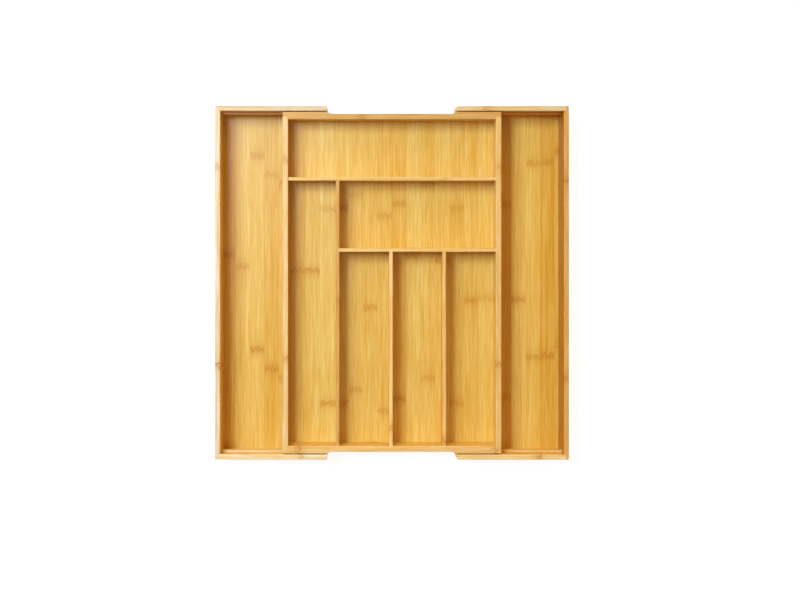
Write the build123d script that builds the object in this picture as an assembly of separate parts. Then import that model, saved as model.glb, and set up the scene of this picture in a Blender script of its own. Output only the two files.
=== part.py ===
from build123d import *
import os

# Expanding bamboo cutlery tray, in millimetres.
# The tray stands on the plane z = 0, centred on the origin, with both wings pulled out.
# X runs across the tray from wing to wing, Y from its front to its back, and Z up.

# whole tray
extended_width = 444.5
tray_depth = 444.5
tray_height = 56.0
centre_width = 275.0

# wings
wing_wall = 6.5
wing_corner_housing = 3.0
closed_gap = 0.5
closed_end_gap = 7.7

# centre tray walls
centre_side_wall = 7.0
centre_end_wall = 9.5
centre_corner_housing = 3.0
relief_depth = 2.4
relief_runout_radius = 10.0

# dividers and compartments
divider_thickness = 4.5
divider_drop = 2.0
wall_housing_depth = 2.0
divider_housing_depth = 1.5
back_compartment_depth = 72.5
middle_compartment_depth = 85.0
long_slot_width = 60.0
cutlery_divider_names = ("slot_divider_left", "slot_divider_right")

# base panels, let into grooves of the walls
wing_panel_thickness = 5.0
wing_panel_rise = 2.0
centre_panel_thickness = 5.0
centre_panel_rise = 5.5
panel_groove_depth = 3.0
panel_edge_gap = 0.2

# rails on the wings, and the grooves that run on them
side_gap = 1.0
ride_gap = 0.5
rail_top_drop = 18.0
rail_height = 8.0
rail_reach = 3.2
rail_seat_depth = 1.0
rail_side_play = 0.3
rail_tip_gap = 1.2
rail_end_setback = 1.5

# stop strips under the centre tray
stop_width = 8.0
stop_height = 4.5
stop_gap = 0.3
stop_end_gap = 3.0

# rounded edges
wall_top_round = 1.0
wall_bottom_round = 0.5
divider_top_round = 0.8
corner_round = 1.5
rail_edge_round = 0.6
stop_edge_round = 0.8
panel_end_round = 1.0

# overrun of every cut past the face that it opens
cut_overrun = 2.0

# places that follow from the sizes above
centre_half_width = centre_width / 2
tray_half_width = extended_width / 2
tray_half_depth = tray_depth / 2
wing_inner_y = tray_half_depth - wing_wall
centre_half_depth = wing_inner_y - side_gap
centre_inner_x = centre_half_width - centre_side_wall
centre_inner_y = centre_half_depth - centre_end_wall
wing_travel = tray_half_width - centre_half_width - wing_wall - closed_gap
wing_end_x = wing_travel + closed_end_gap / 2
wing_panel_top = wing_panel_rise + wing_panel_thickness
centre_bottom = wing_panel_top + ride_gap
centre_panel_bottom = centre_bottom + centre_panel_rise
centre_panel_top = centre_panel_bottom + centre_panel_thickness
divider_top = tray_height - divider_drop
rail_top = tray_height - rail_top_drop
rail_bottom = rail_top - rail_height


def block(x_low, x_high, y_low, y_high, z_low, z_high):
    """A square-edged block between two corners."""
    size = Box(x_high - x_low, y_high - y_low, z_high - z_low, align=(Align.MIN, Align.MIN, Align.MIN))
    return Pos(x_low, y_low, z_low) * size


def front_of(shape):
    """The same piece on the front side of the tray."""
    return shape.mirror(Plane.XZ)


def left_of(shape):
    """The same piece on the left side of the tray."""
    return shape.mirror(Plane.YZ)


# centre tray: front and back boards

def relief_cutter():
    """The shallow hollow along the middle of a board's outer face, as long as the wings leave free.

    A round cutter leaves it, so each end runs out in an arc that starts level with the wing's end.
    """
    floor_y = centre_half_depth - relief_depth
    arc_rise = relief_runout_radius - relief_depth
    runout = (relief_runout_radius ** 2 - arc_rise ** 2) ** 0.5
    end_x = wing_end_x - runout + relief_runout_radius
    hollow = block(-end_x, end_x, floor_y, floor_y + 2 * relief_runout_radius,
                   centre_bottom - cut_overrun, tray_height + cut_overrun)
    floor_corners = hollow.edges().filter_by(Axis.Z).group_by(Axis.Y)[0]
    return fillet(floor_corners, relief_runout_radius)


def centre_end_board():
    """The back board of the centre tray, before any divider is housed in it."""
    board = block(-centre_half_width, centre_half_width, centre_inner_y, centre_half_depth,
                  centre_bottom, tray_height)
    board = fillet(board.edges().filter_by(Axis.Z).group_by(Axis.Y)[-1], corner_round)
    board -= relief_cutter()
    board = fillet(board.edges().group_by(Axis.Z)[-1], wall_top_round)
    board = fillet(board.edges().group_by(Axis.Z)[0], wall_bottom_round)
    for side_share in (-1, 1):
        inner_end = side_share * centre_inner_x
        outer_end = side_share * (centre_half_width + cut_overrun)
        board -= block(min(inner_end, outer_end), max(inner_end, outer_end),
                       centre_inner_y - cut_overrun, centre_inner_y + centre_corner_housing,
                       centre_bottom - cut_overrun, tray_height + cut_overrun)
    board -= rail_groove()
    board -= centre_panel_groove()
    return board


def rail_groove():
    """The groove along the outer face of the back board that runs on the wings' back rails."""
    groove_depth = rail_reach - side_gap + rail_tip_gap
    return block(-centre_half_width - cut_overrun, centre_half_width + cut_overrun,
                 centre_half_depth - groove_depth, centre_half_depth + cut_overrun,
                 rail_bottom - rail_side_play, rail_top + rail_side_play)


def centre_panel_groove():
    """The space that the centre base panel takes up in the walls round it."""
    reach_x = centre_inner_x + panel_groove_depth
    reach_y = centre_inner_y + panel_groove_depth
    return block(-reach_x, reach_x, -reach_y, reach_y, centre_panel_bottom, centre_panel_top)


# centre tray: side walls and base

def centre_side_board():
    """The right wall of the centre tray, its ends let into the front and back boards."""
    end_y = centre_inner_y + centre_corner_housing
    wall = block(centre_inner_x, centre_half_width, -end_y, end_y, centre_bottom, tray_height)
    wall = fillet(wall.edges().filter_by(Axis.Y).group_by(Axis.Z)[-1], wall_top_round)
    wall = fillet(wall.edges().filter_by(Axis.Y).group_by(Axis.Z)[0], wall_bottom_round)
    wall -= centre_panel_groove()
    return wall


def centre_base():
    """The base panel of the centre tray, a little smaller than the grooves that hold it."""
    reach_x = centre_inner_x + panel_groove_depth - panel_edge_gap
    reach_y = centre_inner_y + panel_groove_depth - panel_edge_gap
    return block(-reach_x, reach_x, -reach_y, reach_y, centre_panel_bottom, centre_panel_top)


# dividers

long_cross_back = centre_inner_y - back_compartment_depth
long_cross_front = long_cross_back - divider_thickness
long_slot_left = -centre_inner_x + long_slot_width
long_slot_right = long_slot_left + divider_thickness
short_cross_back = long_cross_front - middle_compartment_depth
short_cross_front = short_cross_back - divider_thickness
cutlery_divider_count = len(cutlery_divider_names)
cutlery_space = centre_inner_x - long_slot_right - cutlery_divider_count * divider_thickness
cutlery_slot_width = cutlery_space / (cutlery_divider_count + 1)


def divider_blank(x_low, x_high, y_low, y_high):
    """A divider with square edges, which is also the housing that its ends need."""
    return block(x_low, x_high, y_low, y_high, centre_panel_top, divider_top)


def long_cross_blank():
    reach_x = centre_inner_x + wall_housing_depth
    return divider_blank(-reach_x, reach_x, long_cross_front, long_cross_back)


def long_slot_blank():
    return divider_blank(long_slot_left, long_slot_right,
                         -centre_inner_y - wall_housing_depth, long_cross_front + divider_housing_depth)


def short_cross_blank():
    return divider_blank(long_slot_right - divider_housing_depth, centre_inner_x + wall_housing_depth,
                         short_cross_front, short_cross_back)


def cutlery_blank(index):
    """The divider on the right of the cutlery slot with this index, counted from the left."""
    left_face = long_slot_right + (index + 1) * cutlery_slot_width + index * divider_thickness
    return divider_blank(left_face, left_face + divider_thickness,
                         -centre_inner_y - wall_housing_depth, short_cross_front + divider_housing_depth)


def rounded_divider(blank, axis):
    """A divider whose top edges are rounded along its length."""
    return fillet(blank.edges().filter_by(axis).group_by(Axis.Z)[-1], divider_top_round)


# wings, modelled on the right

def wing_panel_groove():
    """The space that a wing's base panel takes up in the walls round it."""
    reach_x = tray_half_width - wing_wall + panel_groove_depth
    reach_y = wing_inner_y + panel_groove_depth
    return block(wing_end_x - cut_overrun, reach_x, -reach_y, reach_y, wing_panel_rise, wing_panel_top)


def wing_side_board():
    """The back wall of the right wing, with a shallow seat for its rail."""
    joint_x = tray_half_width - wing_wall + wing_corner_housing
    wall = block(wing_end_x, joint_x, wing_inner_y, tray_half_depth, 0, tray_height)
    wall = fillet(wall.edges().filter_by(Axis.Z).group_by(Axis.X)[0], corner_round)
    top_edges = wall.edges().group_by(Axis.Z)[-1].sort_by(Axis.X)
    wall = fillet(top_edges[:-1], wall_top_round)
    bottom_edges = wall.edges().group_by(Axis.Z)[0].sort_by(Axis.X)
    wall = fillet(bottom_edges[:-1], wall_bottom_round)
    wall -= wing_panel_groove()
    wall -= rail_blank()
    return wall


def wing_outer_board():
    """The outer wall of the right wing, rebated at both ends for the front and back walls."""
    inner_x = tray_half_width - wing_wall
    wall = block(inner_x, tray_half_width, -tray_half_depth, tray_half_depth, 0, tray_height)
    wall = fillet(wall.edges().filter_by(Axis.Z).group_by(Axis.X)[-1], corner_round)
    wall = fillet(wall.edges().group_by(Axis.Z)[-1], wall_top_round)
    wall = fillet(wall.edges().group_by(Axis.Z)[0], wall_bottom_round)
    for side_share in (-1, 1):
        inner_end = side_share * wing_inner_y
        outer_end = side_share * (tray_half_depth + cut_overrun)
        wall -= block(inner_x - cut_overrun, inner_x + wing_corner_housing,
                      min(inner_end, outer_end), max(inner_end, outer_end),
                      -cut_overrun, tray_height + cut_overrun)
    wall -= wing_panel_groove()
    return wall


def wing_base():
    """The base panel of the right wing, open at the end that slides under the centre tray."""
    reach_x = tray_half_width - wing_wall + panel_groove_depth - panel_edge_gap
    reach_y = wing_inner_y + panel_groove_depth - panel_edge_gap
    panel = block(wing_end_x, reach_x, -reach_y, reach_y, wing_panel_rise, wing_panel_top)
    end_edges = panel.edges().filter_by(Axis.Y).group_by(Axis.X)[0]
    return fillet(end_edges.sort_by(Axis.Z)[-1], panel_end_round)


def rail_blank():
    """The rail of the back wall with square edges, which is also the seat that it needs."""
    return block(wing_end_x + rail_end_setback, tray_half_width - wing_wall,
                 wing_inner_y - rail_reach, wing_inner_y + rail_seat_depth, rail_bottom, rail_top)


def wing_rail():
    """The rail on the back wall of the right wing, which carries the centre tray."""
    rail = rail_blank()
    return fillet(rail.edges().filter_by(Axis.X).group_by(Axis.Y)[0], rail_edge_round)


def wing_stop():
    """The strip on the right wing's base that catches the centre side wall when the wing is out."""
    outer_x = centre_inner_x - stop_gap
    end_y = centre_inner_y - stop_end_gap
    strip = block(outer_x - stop_width, outer_x, -end_y, end_y, wing_panel_top, wing_panel_top + stop_height)
    return fillet(strip.edges().filter_by(Axis.Y).group_by(Axis.Z)[-1], stop_edge_round)


# the whole tray, one entry for each piece

def centre_tray():
    long_cross = long_cross_blank()
    long_slot = long_slot_blank()
    short_cross = short_cross_blank()
    cutlery = [cutlery_blank(index) for index in range(cutlery_divider_count)]
    back_wall = centre_end_board()
    front_wall = front_of(back_wall)
    right_wall = centre_side_board()
    left_wall = left_of(right_wall)
    for blank in [long_slot] + cutlery:
        front_wall -= blank
    pieces = {
        "centre_back_wall": back_wall,
        "centre_front_wall": front_wall,
        "centre_left_wall": left_wall - long_cross,
        "centre_right_wall": right_wall - long_cross - short_cross,
        "centre_base_panel": centre_base(),
        "long_cross_divider": rounded_divider(long_cross, Axis.X) - long_slot,
        "long_slot_divider": rounded_divider(long_slot, Axis.Y) - short_cross,
    }
    short_cross_divider = rounded_divider(short_cross, Axis.X)
    for blank in cutlery:
        short_cross_divider -= blank
    pieces["short_cross_divider"] = short_cross_divider
    for name, blank in zip(cutlery_divider_names, cutlery):
        pieces[name] = rounded_divider(blank, Axis.Y)
    return pieces


def right_wing():
    back_wall = wing_side_board()
    back_rail = wing_rail()
    return {
        "outer_wall": wing_outer_board(),
        "front_wall": front_of(back_wall),
        "back_wall": back_wall,
        "base_panel": wing_base(),
        "front_rail": front_of(back_rail),
        "back_rail": back_rail,
        "stop_strip": wing_stop(),
    }


pieces = centre_tray()
for name, shape in right_wing().items():
    pieces["right_" + name] = shape
    pieces["left_" + name] = left_of(shape)

os.makedirs("parts", exist_ok=True)
for name, shape in pieces.items():
    export_step(shape, "parts/" + name + ".step")
print("pieces", len(pieces))
print("wing travel", wing_travel)
print("width when shut", extended_width - wing_travel - wing_travel)
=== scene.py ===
import bpy
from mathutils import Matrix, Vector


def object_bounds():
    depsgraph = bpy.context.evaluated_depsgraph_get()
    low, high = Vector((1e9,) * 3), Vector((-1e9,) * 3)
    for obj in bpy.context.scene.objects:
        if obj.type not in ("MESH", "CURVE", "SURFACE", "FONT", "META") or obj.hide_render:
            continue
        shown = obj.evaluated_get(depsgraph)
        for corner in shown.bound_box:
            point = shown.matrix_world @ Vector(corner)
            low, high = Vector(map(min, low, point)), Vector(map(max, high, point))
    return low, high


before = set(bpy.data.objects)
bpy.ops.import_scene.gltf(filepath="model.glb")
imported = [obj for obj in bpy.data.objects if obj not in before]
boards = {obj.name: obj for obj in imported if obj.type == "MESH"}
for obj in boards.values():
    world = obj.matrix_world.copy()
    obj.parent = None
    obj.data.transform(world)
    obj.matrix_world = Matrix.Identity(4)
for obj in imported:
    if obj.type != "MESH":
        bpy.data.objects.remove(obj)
cadLow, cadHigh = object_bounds()
print("frame loaded with", len(boards), "boards")


# small helpers for building node trees

number, vector3 = "NodeSocketFloat", "NodeSocketVector"
nodeGrid = {"columns": 8, "stepRight": 220, "stepDown": 260}


def opaque(colour):
    return (*colour, 1.0)


def feed(tree, socket, value):
    if isinstance(value, bpy.types.NodeSocket):
        tree.links.new(value, socket)
    else:
        socket.default_value = value


def addNode(tree, kind, settings=None, **inputs):
    node = tree.nodes.new(kind)
    row, column = divmod(len(tree.nodes), nodeGrid["columns"])  # a plain grid, in order of making
    node.location = (nodeGrid["stepRight"] * column, -nodeGrid["stepDown"] * row)
    for key, value in (settings or {}).items():
        setattr(node, key, value)
    for key, value in inputs.items():
        feed(tree, node.inputs[key.replace("_", " ")], value)
    return node


def calc(tree, operation, first, second=0.0):
    node = addNode(tree, "ShaderNodeMath", {"operation": operation})
    feed(tree, node.inputs[0], first)
    feed(tree, node.inputs[1], second)
    return node.outputs[0]


def plus(tree, first, second):
    return calc(tree, "ADD", first, second)


def minus(tree, first, second):
    return calc(tree, "SUBTRACT", first, second)


def times(tree, first, second):
    return calc(tree, "MULTIPLY", first, second)


def ramp(tree, value, fromLow, fromHigh, toLow=0.0, toHigh=1.0, smooth=True):
    shape = "SMOOTHSTEP" if smooth else "LINEAR"
    node = addNode(tree, "ShaderNodeMapRange", {"interpolation_type": shape})
    for index, entry in enumerate((value, fromLow, fromHigh, toLow, toHigh)):
        feed(tree, node.inputs[index], entry)
    return node.outputs[0]


def mixColour(tree, share, first, second, blend="MIX"):
    node = addNode(tree, "ShaderNodeMix", {"data_type": "RGBA", "blend_type": blend})
    feed(tree, node.inputs[0], share)
    feed(tree, node.inputs[6], first)  # inputs 6 and 7 are the node's colours A and B
    feed(tree, node.inputs[7], second)
    return node.outputs[2]


def joinVector(tree, x, y, z):
    node = addNode(tree, "ShaderNodeCombineXYZ")
    for index, entry in enumerate((x, y, z)):
        feed(tree, node.inputs[index], entry)
    return node.outputs[0]


def splitVector(tree, vector):
    node = addNode(tree, "ShaderNodeSeparateXYZ", Vector=vector)
    return node.outputs[0], node.outputs[1], node.outputs[2]


def drawNumber(tree, first, second):
    # a random number from 0 to 1 for each pair of values
    node = addNode(tree, "ShaderNodeTexWhiteNoise", {"noise_dimensions": "2D"},
                   Vector=joinVector(tree, first, second, 0.0))
    return node.outputs[0]


def newGroup(name, inputs, outputs):
    # an input without a value is always fed from outside
    tree = bpy.data.node_groups.new(name, "ShaderNodeTree")
    for socketName, kind, value in inputs:
        socket = tree.interface.new_socket(socketName, in_out="INPUT", socket_type=kind)
        if value is not None:
            socket.default_value = value
    for socketName, kind in outputs:
        tree.interface.new_socket(socketName, in_out="OUTPUT", socket_type=kind)
    return tree, addNode(tree, "NodeGroupInput"), addNode(tree, "NodeGroupOutput")


# effects that the bamboo materials share; Place is across, along and through the board, in metres

drawSteps = {  # uneven steps that keep one random draw apart from the next
    "layout": 7.31, "fibres": 3.7, "pair": 13.7, "single": 5.3, "knuckle": 2.9, "strength": 31.0,
}
streakRoughness = 0.62


def streaks(tree, place, repeats, seed, detail=2.0):
    # noise drawn out along the grain, with its repeats per metre across, along and through
    moved = [times(tree, part, repeat) for part, repeat in zip(splitVector(tree, place), repeats)]
    node = addNode(tree, "ShaderNodeTexNoise", {"noise_dimensions": "4D"}, Vector=joinVector(tree, *moved),
                   W=seed, Scale=1.0, Detail=detail, Roughness=streakRoughness)
    return node.outputs[0]


seamWidth = 0.0004


def makeStripLayout():
    tree, given, result = newGroup(
        "stripLayout",
        [("Place", vector3, None), ("Strip Width", number, None), ("Seam Width", number, seamWidth),
         ("Seed", number, None)],
        [("Strip", number), ("Across", number), ("Tone", number), ("Seam", number)])
    stripWidth, seed = given.outputs["Strip Width"], given.outputs["Seed"]
    steps = calc(tree, "DIVIDE", splitVector(tree, given.outputs["Place"])[0], stripWidth)
    steps = plus(tree, steps, times(tree, seed, drawSteps["layout"]))
    strip, across = calc(tree, "FLOOR", steps), calc(tree, "FRACT", steps)
    toEdge = calc(tree, "MINIMUM", across, minus(tree, 1.0, across))
    seam = ramp(tree, times(tree, toEdge, stripWidth), 0.0, given.outputs["Seam Width"], 1.0, 0.0)
    feed(tree, result.inputs["Strip"], strip)
    feed(tree, result.inputs["Across"], across)
    feed(tree, result.inputs["Tone"], drawNumber(tree, strip, seed))
    feed(tree, result.inputs["Seam"], seam)
    return tree


fibreBands = {  # repeats per metre across, along and through, detail, and the noise levels for 0 and 1
    "Fine": ((1000.0, 40.0, 950.0), 2.0, 0.34, 0.66),
    "Middle": ((520.0, 15.0, 480.0), 2.0, 0.34, 0.66),
    "Broad": ((170.0, 3.0, 120.0), 3.0, 0.38, 0.62),
    "Patches": ((42.0, 11.0, 40.0), 2.0, 0.38, 0.62),
}
poreValues = {"perMetre": 1150.0, "unevenness": 0.85, "core": 0.18, "edge": 0.42}


def makeFibres():
    tree, given, result = newGroup(
        "bambooFibres",
        [("Place", vector3, None), ("Strip", number, None), ("Seed", number, None)],
        [(name, number) for name in (*fibreBands, "Pores")])
    place = given.outputs["Place"]
    shift = plus(tree, times(tree, given.outputs["Strip"], drawSteps["fibres"]), given.outputs["Seed"])
    for name, (repeats, detail, low, high) in fibreBands.items():
        noise = streaks(tree, place, repeats, shift, detail)
        feed(tree, result.inputs[name], ramp(tree, noise, low, high))
    parts = splitVector(tree, place)
    cells = addNode(tree, "ShaderNodeTexVoronoi", {"voronoi_dimensions": "2D", "feature": "F1"},
                    Vector=joinVector(tree, parts[0], parts[2], 0.0), Scale=poreValues["perMetre"],
                    Randomness=poreValues["unevenness"])
    pores = ramp(tree, cells.outputs["Distance"], poreValues["core"], poreValues["edge"], 1.0, 0.0)
    feed(tree, result.inputs["Pores"], pores)
    return tree


knuckleValues = {  # lengths in metres, repeats and strokes per metre
    "pairedShare": 0.50, "pairedTo": 0.51, "pairedShift": 0.05,  # half of the pairs share a knuckle
    "bow": 0.004, "sway": 0.0050, "swayRepeats": (150.0, 0.0, 130.0),
    "strokes": 290.0, "wander": 4.0, "wanderRepeats": (140.0, 0.0, 130.0), "wanderDetail": 1.0,
    "toothLength": 0.0050, "calm": (0.3, 0.7), "swing": (0.5, 1.0),
    "thread": (0.0004, 0.0022), "threadShare": 0.97,
    "teethRepeats": (640.0, 0.0, 600.0), "teeth": (0.40, 0.58), "reach": (0.25, 1.15),
    "tuftEdge": 0.0024, "tuftShare": 0.46,
    "weakest": 0.45, "halo": (0.003, 0.016), "ridge": 0.003,
}


def makeKnuckles():
    tree, given, result = newGroup(
        "bambooKnuckles",
        [("Place", vector3, None), ("Strip", number, None), ("Across", number, None),
         ("Spacing", number, None), ("Tooth Length", number, knuckleValues["toothLength"]),
         ("Seed", number, None)],
        [("Mark", number), ("Halo", number), ("Ridge", number)])
    place, strip, seed = (given.outputs[name] for name in ("Place", "Strip", "Seed"))
    spacing, toothLength = given.outputs["Spacing"], given.outputs["Tooth Length"]
    x, y = splitVector(tree, place)[:2]

    # each strip has its knuckles at its own place along the board, or close to its neighbour's
    pair = drawNumber(tree, calc(tree, "FLOOR", calc(tree, "DIVIDE", strip, 2.0)), seed)
    single = drawNumber(tree, strip, plus(tree, seed, drawSteps["single"]))
    apart = calc(tree, "FRACT", times(tree, pair, drawSteps["pair"]))
    apart = ramp(tree, apart, knuckleValues["pairedShare"], knuckleValues["pairedTo"],
                 knuckleValues["pairedShift"], 1.0)
    offset = plus(tree, pair, times(tree, minus(tree, single, 0.5), apart))
    steps = plus(tree, calc(tree, "DIVIDE", y, spacing), offset)
    own = plus(tree, times(tree, calc(tree, "FLOOR", steps), drawSteps["knuckle"]), strip)
    strength = drawNumber(tree, own, plus(tree, seed, drawSteps["strength"]))
    power = ramp(tree, strength, 0.0, 1.0, knuckleValues["weakest"], 1.0, smooth=False)

    # metres from the knuckle's bent line, along the grain
    fromLine = times(tree, minus(tree, calc(tree, "FRACT", steps), 0.5), spacing)
    fromMiddle = minus(tree, given.outputs["Across"], 0.5)
    bow = times(tree, calc(tree, "POWER", fromMiddle, 2.0), knuckleValues["bow"])
    sway = streaks(tree, place, knuckleValues["swayRepeats"], own)
    sway = times(tree, minus(tree, sway, 0.5), knuckleValues["sway"])
    fromBow = plus(tree, plus(tree, fromLine, bow), sway)
    distance = calc(tree, "ABSOLUTE", fromBow)

    # the fibres cross the knuckle in a zigzag thread
    drift = streaks(tree, place, knuckleValues["wanderRepeats"], own, knuckleValues["wanderDetail"])
    wander = times(tree, drift, knuckleValues["wander"])
    beat = plus(tree, times(tree, x, knuckleValues["strokes"]), wander)
    zigzag = minus(tree, times(tree, calc(tree, "PINGPONG", beat, 0.5), 4.0), 1.0)  # from -1 to 1
    swing = times(tree, ramp(tree, drift, *knuckleValues["calm"], *knuckleValues["swing"]), toothLength)
    fromThread = calc(tree, "ABSOLUTE", plus(tree, fromBow, times(tree, zigzag, swing)))
    thread = ramp(tree, fromThread, *knuckleValues["thread"], 1.0, 0.0)

    # and short tufts stand on both sides of its line
    teeth = streaks(tree, place, knuckleValues["teethRepeats"], own)
    teeth = ramp(tree, teeth, *knuckleValues["teeth"])
    reach = times(tree, ramp(tree, teeth, 0.0, 1.0, *knuckleValues["reach"]), toothLength)
    tufts = ramp(tree, minus(tree, reach, distance), 0.0, knuckleValues["tuftEdge"])

    comb = calc(tree, "MAXIMUM", times(tree, thread, knuckleValues["threadShare"]),
                times(tree, tufts, knuckleValues["tuftShare"]))
    halo = ramp(tree, distance, *knuckleValues["halo"], 1.0, 0.0)
    ridge = ramp(tree, distance, 0.0, knuckleValues["ridge"], 1.0, 0.0)
    for name, value in (("Mark", comb), ("Halo", halo), ("Ridge", ridge)):
        feed(tree, result.inputs[name], times(tree, value, power))
    return tree


rimRise, rimLeast = 0.0009, 0.75  # metres over which the rim begins, and its weakest streak


def makeSandedRim():
    tree, given, result = newGroup(
        "sandedRim",
        [("Height", number, None), ("Start", number, None), ("Streaks", number, None)],
        [("Rim", number)])
    start = given.outputs["Start"]
    rim = ramp(tree, given.outputs["Height"], start, plus(tree, start, rimRise))
    streaked = ramp(tree, given.outputs["Streaks"], 0.0, 1.0, rimLeast, 1.0)
    feed(tree, result.inputs["Rim"], times(tree, rim, streaked))
    return tree


stripLayout, bambooFibres = makeStripLayout(), makeFibres()
bambooKnuckles, sandedRim = makeKnuckles(), makeSandedRim()
print("shared bamboo effects built")


# one bamboo material for each board, from the recipe of its kind

recipes = {
    "panel": {"stripWidth": 0.0185, "spacing": 0.25, "toneShare": 0.55, "light": (0.92, 0.815, 0.285),
              "deep": (0.77, 0.500, 0.056), "knuckle": (0.58, 0.28, 0.018)},
    "wall": {"stripWidth": 0.0185, "spacing": 0.25, "toneShare": 0.35, "light": (0.90, 0.60, 0.17),
             "deep": (0.79, 0.43, 0.065), "knuckle": (0.56, 0.26, 0.026), "rimStart": 0.0548},
    "rail": {"stripWidth": 0.0400, "spacing": 0.31, "toneShare": 0.35, "light": (0.96, 0.78, 0.42),
             "deep": (0.90, 0.66, 0.28), "knuckle": (0.56, 0.26, 0.026)},
}
recipes["divider"] = {**recipes["wall"], "rimStart": 0.0529}  # dividers end 2 mm lower than walls
toneAndLightTints = {  # boards that are paler or browner than their kind, partly their own tone and partly painted light and shade; the back rails' brown is painted shade
    "centre_base_panel": (0.99, 1.01, 1.05), "left_base_panel": (0.94, 0.92, 0.88),
    "right_base_panel": (1.04, 1.01, 0.88),
    "centre_left_wall": (0.98, 1.08, 1.22), "centre_back_wall": (0.86, 0.83, 0.76),
    "left_outer_wall": (0.97, 1.0, 1.05), "right_outer_wall": (0.93, 0.95, 0.82),
    "left_back_wall": (0.86, 0.94, 1.02), "left_front_wall": (1.04, 1.12, 1.20),
    "right_back_wall": (0.94, 0.98, 0.95), "right_front_wall": (1.04, 1.02, 0.88),
    "long_slot_divider": (0.78, 0.69, 0.47),
    "left_back_rail": (0.72, 0.48, 0.18), "right_back_rail": (0.75, 0.46, 0.15),
    "left_front_rail": (0.87, 1.05, 1.30), "right_front_rail": (0.84, 0.91, 0.70),
}
litAndShadedFaces = {  # painted light and shade on one face of these boards, paler where lit and darker where shaded: its axis, its direction and the tint
    "centre_right_wall": (0, -1.0, (1.05, 1.24, 1.55)), "centre_front_wall": (1, 1.0, (1.04, 1.20, 1.38)),
    "right_outer_wall": (0, -1.0, (0.635, 0.435, 0.18)),
    "centre_left_wall": (0, 1.0, (0.76, 0.60, 0.40)), "long_slot_divider": (0, 1.0, (0.92, 0.83, 0.66)),
}
rimColoursAndSheen = {  # the sanded top edges differ more than the faces do; the paleness of the wings' and the left walls' rims is partly painted sheen
    "centre_left_wall": (0.86, 0.76, 0.46), "centre_right_wall": (0.85, 0.71, 0.335),
    "centre_back_wall": (0.68, 0.51, 0.20), "centre_front_wall": (0.88, 0.73, 0.37),
    "left_outer_wall": (0.81, 0.84, 0.71), "right_outer_wall": (0.74, 0.53, 0.19),
    "left_back_wall": (0.76, 0.74, 0.60), "left_front_wall": (0.94, 1.0, 0.88),
    "right_back_wall": (0.84, 0.81, 0.58), "right_front_wall": (0.93, 0.89, 0.53),
    "long_cross_divider": (0.87, 0.76, 0.38), "long_slot_divider": (0.72, 0.525, 0.19),
    "short_cross_divider": (0.93, 0.80, 0.41),
    "slot_divider_left": (0.96, 0.81, 0.40), "slot_divider_right": (0.89, 0.71, 0.335),
}
wood = {
    "broadShare": 0.6, "patchShare": 0.4, "rimShare": 0.90,
    "darkStreak": (0.86, 0.75, 0.40), "lightStreak": (1.05, 1.12, 1.46),
    "middleShare": 0.50, "middleSwing": (0.55, 1.25), "fineShare": 0.50, "seamShare": 0.30,
    "haloShare": 0.25, "markShare": 0.97,
    "endPale": (0.88, 0.60, 0.25), "endDark": (0.58, 0.33, 0.11), "endFacing": (0.75, 0.95),
    "paintedFacing": (0.5, 0.9),
    "roughness": 0.27, "fineRoughness": 0.09, "endRoughness": 0.2, "ior": 1.48, "specularLevel": 0.25,
    "fineHeight": 0.35, "ridgeHeight": 0.8, "bumpStrength": 0.35, "bumpDistance": 0.00012,
}
axes = {"x": (2, 0, 1), "y": (2, 1, 0), "panelY": (0, 1, 2)}  # which axis lies across, along, through


def tinted(colour, tint):
    return opaque(part * share for part, share in zip(colour, tint))


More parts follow.
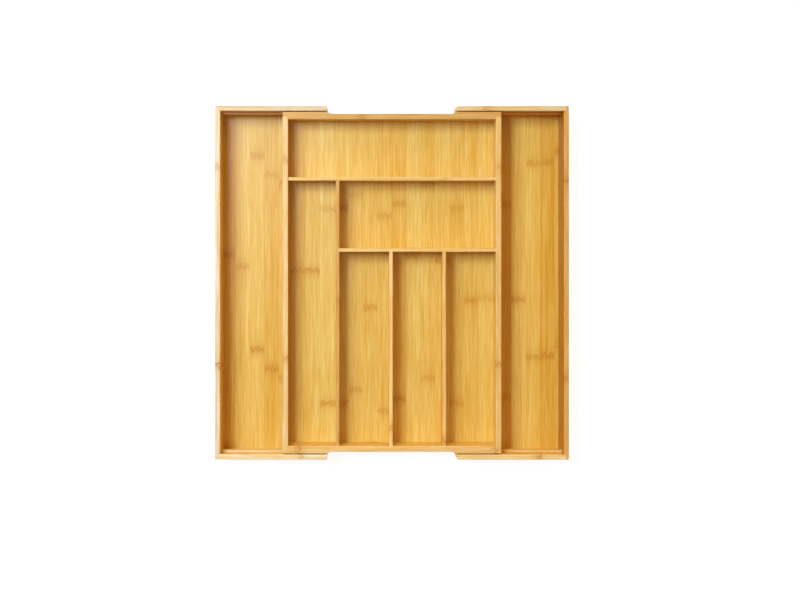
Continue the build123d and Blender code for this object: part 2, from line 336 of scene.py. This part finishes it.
def makeBamboo(name, kind, grain, seed):
    # a board's tint carries its own tone and some painted light and shade
    recipe, tint = recipes[kind], toneAndLightTints.get(name, (1.0, 1.0, 1.0))
    deep, light, knuckle = (tinted(recipe[part], tint) for part in ("deep", "light", "knuckle"))
    material = bpy.data.materials.new("bamboo_" + name)
    material.use_nodes = True
    tree = material.node_tree
    tree.nodes.clear()
    coordinates = addNode(tree, "ShaderNodeTexCoord")
    parts = splitVector(tree, coordinates.outputs["Object"])
    normal = splitVector(tree, coordinates.outputs["Normal"])
    across, along, through = axes[grain]
    place = joinVector(tree, parts[across], parts[along], parts[through])
    strips = addNode(tree, "ShaderNodeGroup", {"node_tree": stripLayout}, Place=place,
                     Strip_Width=recipe["stripWidth"], Seed=seed)
    strip, acrossShare, tone, seam = strips.outputs
    fibres = addNode(tree, "ShaderNodeGroup", {"node_tree": bambooFibres}, Place=place, Strip=strip,
                     Seed=seed)
    fine, middle, broad, patches, pores = fibres.outputs
    knuckles = addNode(tree, "ShaderNodeGroup", {"node_tree": bambooKnuckles}, Place=place, Strip=strip,
                       Across=acrossShare, Spacing=recipe["spacing"], Seed=seed)
    mark, halo, ridge = knuckles.outputs

    # the wood's tone, partly painted light and shade, then its rim, partly painted sheen, and streaks
    tones = plus(tree, times(tree, broad, wood["broadShare"]), times(tree, patches, wood["patchShare"]))
    tones = times(tree, tones, 1.0 - recipe["toneShare"])
    tones = plus(tree, times(tree, tone, recipe["toneShare"]), tones)
    colour = mixColour(tree, tones, deep, light)
    if name in rimColoursAndSheen:
        rim = addNode(tree, "ShaderNodeGroup", {"node_tree": sandedRim}, Height=parts[2],
                      Start=recipe["rimStart"], Streaks=middle).outputs[0]
        # the rim colour holds a painted sheen on the pale rims
        colour = mixColour(tree, times(tree, rim, wood["rimShare"]), colour, opaque(rimColoursAndSheen[name]))
    streak = mixColour(tree, middle, opaque(wood["darkStreak"]), opaque(wood["lightStreak"]))
    share = ramp(tree, broad, 0.0, 1.0, *wood["middleSwing"], smooth=False)
    colour = mixColour(tree, times(tree, wood["middleShare"], share), colour, streak, "MULTIPLY")
    darker = mixColour(tree, 1.0, colour, opaque(wood["darkStreak"]), "MULTIPLY")
    share = times(tree, ramp(tree, fine, 0.0, 1.0, 1.0, 0.0), wood["fineShare"])
    colour = mixColour(tree, share, colour, darker)
    colour = mixColour(tree, times(tree, seam, wood["seamShare"]), colour, darker)

    # knuckles, end grain, and painted light and shade on one face
    colour = mixColour(tree, times(tree, halo, wood["haloShare"]), colour, knuckle)
    colour = mixColour(tree, times(tree, mark, wood["markShare"]), colour, knuckle)
    endMask = ramp(tree, calc(tree, "ABSOLUTE", normal[along]), *wood["endFacing"])  # 1 on end grain
    endColour = mixColour(tree, pores, tinted(wood["endPale"], tint), tinted(wood["endDark"], tint))
    colour = mixColour(tree, endMask, colour, endColour)
    # a listed face is tinted by the way it points: paler as painted light, darker as painted shade
    if name in litAndShadedFaces:
        side, direction, paintedLightTint = litAndShadedFaces[name]
        paintedFaceMask = ramp(tree, times(tree, normal[side], direction), *wood["paintedFacing"])
        paintedFaceColour = mixColour(tree, 1.0, colour, opaque(paintedLightTint), "MULTIPLY")
        colour = mixColour(tree, paintedFaceMask, colour, paintedFaceColour)

    roughness = plus(tree, wood["roughness"], times(tree, fine, wood["fineRoughness"]))
    roughness = plus(tree, roughness, times(tree, endMask, wood["endRoughness"]))
    height = plus(tree, times(tree, fine, wood["fineHeight"]), times(tree, ridge, wood["ridgeHeight"]))
    bump = addNode(tree, "ShaderNodeBump", Height=minus(tree, height, seam), Strength=wood["bumpStrength"],
                   Distance=wood["bumpDistance"])
    shader = addNode(tree, "ShaderNodeBsdfPrincipled", Base_Color=colour, Roughness=roughness,
                     Normal=bump.outputs[0])
    shader.inputs["IOR"].default_value = wood["ior"]
    shader.inputs["Specular IOR Level"].default_value = wood["specularLevel"]
    output = addNode(tree, "ShaderNodeOutputMaterial")
    feed(tree, output.inputs["Surface"], shader.outputs[0])
    return material


def boardKind(name):
    # the recipe, and the way the grain runs
    if name.endswith("panel"):
        return "panel", "panelY"
    if "rail" in name:
        return "rail", "x"
    if "strip" in name:
        return "rail", "y"
    if "divider" in name:
        return "divider", "x" if "cross" in name else "y"
    side = name.endswith(("left_wall", "right_wall", "outer_wall"))
    return "wall", "y" if side else "x"


for index, name in enumerate(sorted(boards)):
    kind, grain = boardKind(name)
    material = makeBamboo(name, kind, grain, index + 0.5)  # the last sets this board's random draws apart
    for materialSlot in boards[name].material_slots:
        materialSlot.material = material
print("bamboo laid on", len(boards), "boards")


# floor, light and camera

white, black = (1.0, 1.0, 1.0, 1.0), (0.0, 0.0, 0.0, 1.0)


def seenByEye(tree):
    # 1 for what the camera sees, straight or in a gloss, and 0 for light on its way to the tray
    path = addNode(tree, "ShaderNodeLightPath")
    reflected = calc(tree, "MAXIMUM", path.outputs["Is Glossy Ray"], path.outputs["Is Transmission Ray"])
    return calc(tree, "MAXIMUM", path.outputs["Is Camera Ray"], reflected)


floorValues = {
    "size": 6.0, "colour": (0.90, 0.90, 0.90), "roughness": 0.9,
    "seenColour": (0.20, 0.30, 0.45), "glow": 0.88,  # together white to the eye, and pale where shaded
}


def makeFloor():
    for item in bpy.context.selected_objects:
        item.select_set(False)
    bpy.ops.mesh.primitive_plane_add(size=floorValues["size"], location=(0.0, 0.0, cadLow.z))
    floor = bpy.context.active_object
    floor.name = "floor"
    material = bpy.data.materials.new("paleFloor")
    material.use_nodes = True
    tree = material.node_tree
    shader = tree.nodes["Principled BSDF"]
    isSeen = seenByEye(tree)
    feed(tree, shader.inputs["Base Color"], mixColour(
        tree, isSeen, opaque(floorValues["colour"]), opaque(floorValues["seenColour"])))
    shader.inputs["Roughness"].default_value = floorValues["roughness"]
    shader.inputs["Emission Color"].default_value = white
    feed(tree, shader.inputs["Emission Strength"], times(tree, isSeen, floorValues["glow"]))
    floor.data.materials.append(material)


skyValues = {  # a warm fill that is stronger from the back, and a paler band above the horizon
    "fillColour": (1.0, 0.56, 0.21), "fillStrength": 0.46, "fillSide": (0.25, 0.90, 0.0),
    "horizonColour": (1.0, 0.90, 0.72), "horizonHeight": 0.45,
}


def makeSky():
    world = bpy.data.worlds.new("studioWorld")
    bpy.context.scene.world = world
    world.use_nodes = True
    tree = world.node_tree
    isSeen = seenByEye(tree)
    direction = addNode(tree, "ShaderNodeTexCoord").outputs["Generated"]  # in a world, where the ray goes
    towards = addNode(tree, "ShaderNodeVectorMath", {"operation": "DOT_PRODUCT"})
    feed(tree, towards.inputs[0], direction)
    feed(tree, towards.inputs[1], skyValues["fillSide"])
    fill = times(tree, plus(tree, towards.outputs["Value"], 1.0), skyValues["fillStrength"])
    fill = mixColour(tree, fill, black, opaque(skyValues["fillColour"]))
    glow = ramp(tree, splitVector(tree, direction)[2], 0.0, skyValues["horizonHeight"], 1.0, 0.0)
    sky = mixColour(tree, glow, fill, opaque(skyValues["horizonColour"]), "ADD")
    feed(tree, tree.nodes["Background"].inputs["Color"], mixColour(tree, isSeen, sky, white))


lampTilt, lampColour = -0.39, (0.985, 0.985, 1.0)
lamps = {
    "key": {"place": (-0.62, 0.545, 1.95), "size": (0.30, 0.78), "power": 14.7},
    "side": {"place": (-1.07, 0.585, 1.95), "size": (0.60, 0.86), "power": 17.0},
    "sheen": {"place": (-0.42, 0.38, 1.95), "size": (0.14, 0.50), "power": 6.8},
}


def makeLamps():
    for name, values in lamps.items():
        lamp = bpy.data.lights.new(name + "Lamp", "AREA")
        lamp.shape = "RECTANGLE"
        lamp.size, lamp.size_y = values["size"]
        lamp.energy = values["power"]
        lamp.color = lampColour
        holder = bpy.data.objects.new(name + "Lamp", lamp)
        bpy.context.scene.collection.objects.link(holder)
        holder.location = values["place"]
        holder.rotation_euler = (lampTilt, 0.0, 0.0)  # its sides stay along those of the tray
        holder.visible_diffuse = name != "sheen"  # that one only shows as a gloss on the lacquer


cameraValues = {"place": (-0.0452, 0.0687), "above": 1.80, "lens": 64.51, "sensor": 36.0,
                "shift": (0.055, -0.09)}


def makeCamera():
    lens = bpy.data.cameras.new("camera")
    lens.lens = cameraValues["lens"]
    lens.sensor_width = cameraValues["sensor"]
    lens.shift_x, lens.shift_y = cameraValues["shift"]
    camera = bpy.data.objects.new("camera", lens)
    bpy.context.scene.collection.objects.link(camera)
    camera.location = (*cameraValues["place"], cadHigh.z + cameraValues["above"])
    camera.rotation_euler = (0.0, 0.0, 0.0)  # straight down
    bpy.context.scene.camera = camera


makeFloor()
makeSky()
makeLamps()
makeCamera()
bpy.context.scene.view_settings.view_transform = "Standard"
print("floor, light and camera set")
